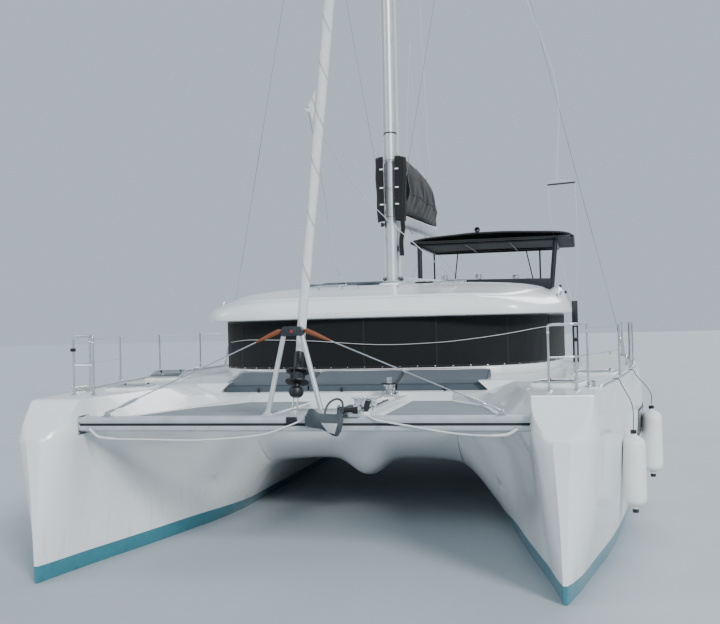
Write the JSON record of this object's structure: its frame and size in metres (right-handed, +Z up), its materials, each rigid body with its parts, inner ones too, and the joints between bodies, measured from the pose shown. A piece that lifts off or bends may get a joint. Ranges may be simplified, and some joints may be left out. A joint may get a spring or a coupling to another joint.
{
  "type": "sailing catamaran",
  "caption": "Cruising sailing catamaran afloat: slim hulls joined by a bridge deck with a cabin, mast with furled sails, crossbeam with nets, raised helm, rudders and propellers.",
  "frame": {"origin": "at the waterline, on the centreline, amidships", "axes": "+Z up, -Y ahead towards the bows, +X to port"},
  "size_m": [7.8155, 12.84, 21.8966],
  "materials": {
    "gelcoat": "glossy white gelcoat",
    "antifouling": "matt blue bottom paint",
    "painted_alloy": "painted grey",
    "bronze": "polished bronze",
    "dark_glass": "dark tinted",
    "cover_mesh": "black woven sun mesh",
    "spar_alloy": "anodised",
    "stainless": "polished stainless",
    "galvanised": "dull dark grey zinc",
    "net": "grey woven net",
    "grey_cushion": "grey outdoor cloth over foam",
    "black_plastic": "black",
    "black_cloth": "black sail cover cloth",
    "sailcloth": "pale sail cloth",
    "fender_vinyl": "white vinyl"
  },
  "bodies": {
    "boat": {"port_hull": "gelcoat", "starboard_hull": "gelcoat", "bridge_deck": "gelcoat", "port_keel": "antifouling", "starboard_keel": "antifouling", "port_saildrive": "painted_alloy", "starboard_saildrive": "painted_alloy", "coachroof": "gelcoat", "saloon_wall": "gelcoat", "windscreen": "dark_glass", "port_side_window": "dark_glass", "starboard_side_window": "dark_glass", "windscreen_cover": "cover_mesh", "aft_bulkhead": "gelcoat", "fixed_door_pane": "dark_glass", "crossbeam": "spar_alloy", "striker_frame": "spar_alloy", "port_beam_stay": "stainless", "starboard_beam_stay": "stainless", "longeron": "gelcoat", "anchor": "galvanised", "windlass": "stainless", "port_net": "net", "starboard_net": "net", "sun_pad": "grey_cushion", "port_pulpit": "stainless", "starboard_pulpit": "stainless", "port_stanchions": "spar_alloy", "starboard_stanchions": "spar_alloy", "gangway": "black_plastic", "fore_fender": "fender_vinyl", "aft_fender": "fender_vinyl", "mast": "spar_alloy", "port_spreader": "spar_alloy", "starboard_spreader": "spar_alloy", "bag_collar": "black_cloth", "port_shroud": "stainless", "starboard_shroud": "stainless", "furler_drum": "black_plastic", "furled_sail": "sailcloth", "helm_station": "gelcoat", "helm_seat": "grey_cushion", "bimini_top": "black_plastic", "bimini_frame": "black_plastic", "aft_bench": "grey_cushion", "side_bench": "grey_cushion", "roof_pad": "grey_cushion"},
    "boom": {"boom": "gelcoat", "sail_bag": "black_cloth"},
    "port_rudder": {"port_rudder": "antifouling"},
    "starboard_rudder": {"starboard_rudder": "antifouling"},
    "steering_wheel": {"steering_wheel": "black_plastic"},
    "port_propeller": {"port_propeller": "bronze"},
    "starboard_propeller": {"starboard_propeller": "bronze"},
    "sliding_door": {"sliding_door": "dark_glass"},
    "boarding_ladder": {"boarding_ladder": "stainless"},
    "port_fore_hatch_lid": {"port_fore_hatch_lid": "dark_glass"},
    "port_aft_hatch_lid": {"port_aft_hatch_lid": "dark_glass"},
    "starboard_fore_hatch_lid": {"starboard_fore_hatch_lid": "dark_glass"},
    "starboard_aft_hatch_lid": {"starboard_aft_hatch_lid": "dark_glass"}
  },
  "joints": [
    {"name": "boom_swing", "type": "hinge", "parent": "boat", "child": "boom", "pos_m": [0, -0.10778, 4.36254], "axis": [0, 0.0349, 0.9994], "range_deg": [-55, 55]},
    {"name": "port_rudder_turn", "type": "hinge", "parent": "boat", "child": "port_rudder", "pos_m": [2.73, 5.45, -0.35], "axis": [0, 0, 1], "range_deg": [-35, 35]},
    {"name": "starboard_rudder_turn", "type": "hinge", "parent": "boat", "child": "starboard_rudder", "pos_m": [-2.73, 5.45, -0.35], "axis": [0, 0, 1], "range_deg": [-35, 35]},
    {"name": "wheel_turn", "type": "hinge", "parent": "boat", "child": "steering_wheel", "pos_m": [1.6, 1.88, 3], "axis": [0, 1, 0], "range_deg": [-450, 450]},
    {"name": "port_propeller_spin", "type": "hinge", "parent": "boat", "child": "port_propeller", "pos_m": [2.73, 4.3805, -0.76], "axis": [0, 1, 0], "continuous": true},
    {"name": "starboard_propeller_spin", "type": "hinge", "parent": "boat", "child": "starboard_propeller", "pos_m": [-2.73, 4.3805, -0.76], "axis": [0, 1, 0], "continuous": true},
    {"name": "door_slide", "type": "slide", "parent": "boat", "child": "sliding_door", "axis": [1, 0, 0], "range_m": [0, 0.79]},
    {"name": "port_fore_hatch_lid_hinge", "type": "hinge", "parent": "boat", "child": "port_fore_hatch_lid", "pos_m": [2.63485, -4.47605, 1.9243], "axis": [0.9848, -0.1736, 0], "range_deg": [0, 80]},
    {"name": "port_aft_hatch_lid_hinge", "type": "hinge", "parent": "boat", "child": "port_aft_hatch_lid", "pos_m": [3.07485, -2.45605, 1.9243], "axis": [0.9848, -0.1736, 0], "range_deg": [0, 80]},
    {"name": "starboard_fore_hatch_lid_hinge", "type": "hinge", "parent": "boat", "child": "starboard_fore_hatch_lid", "pos_m": [-2.63485, -4.47605, 1.9243], "axis": [0.9848, 0.1736, 0], "range_deg": [0, 80]},
    {"name": "starboard_aft_hatch_lid_hinge", "type": "hinge", "parent": "boat", "child": "starboard_aft_hatch_lid", "pos_m": [-3.07485, -2.45605, 1.9243], "axis": [0.9848, 0.1736, 0], "range_deg": [-9, 71]},
    {"name": "ladder_hinge", "type": "hinge", "parent": "boat", "child": "boarding_ladder", "pos_m": [-2.75, 6.422, 0.44], "axis": [-1, 0, 0], "range_deg": [0, 178]}
  ],
  "couplings": [
    {"joint": "starboard_rudder_turn", "follows": "port_rudder_turn", "ratio": 1},
    {"joint": "wheel_turn", "follows": "port_rudder_turn", "ratio": -12.857}
  ]
}
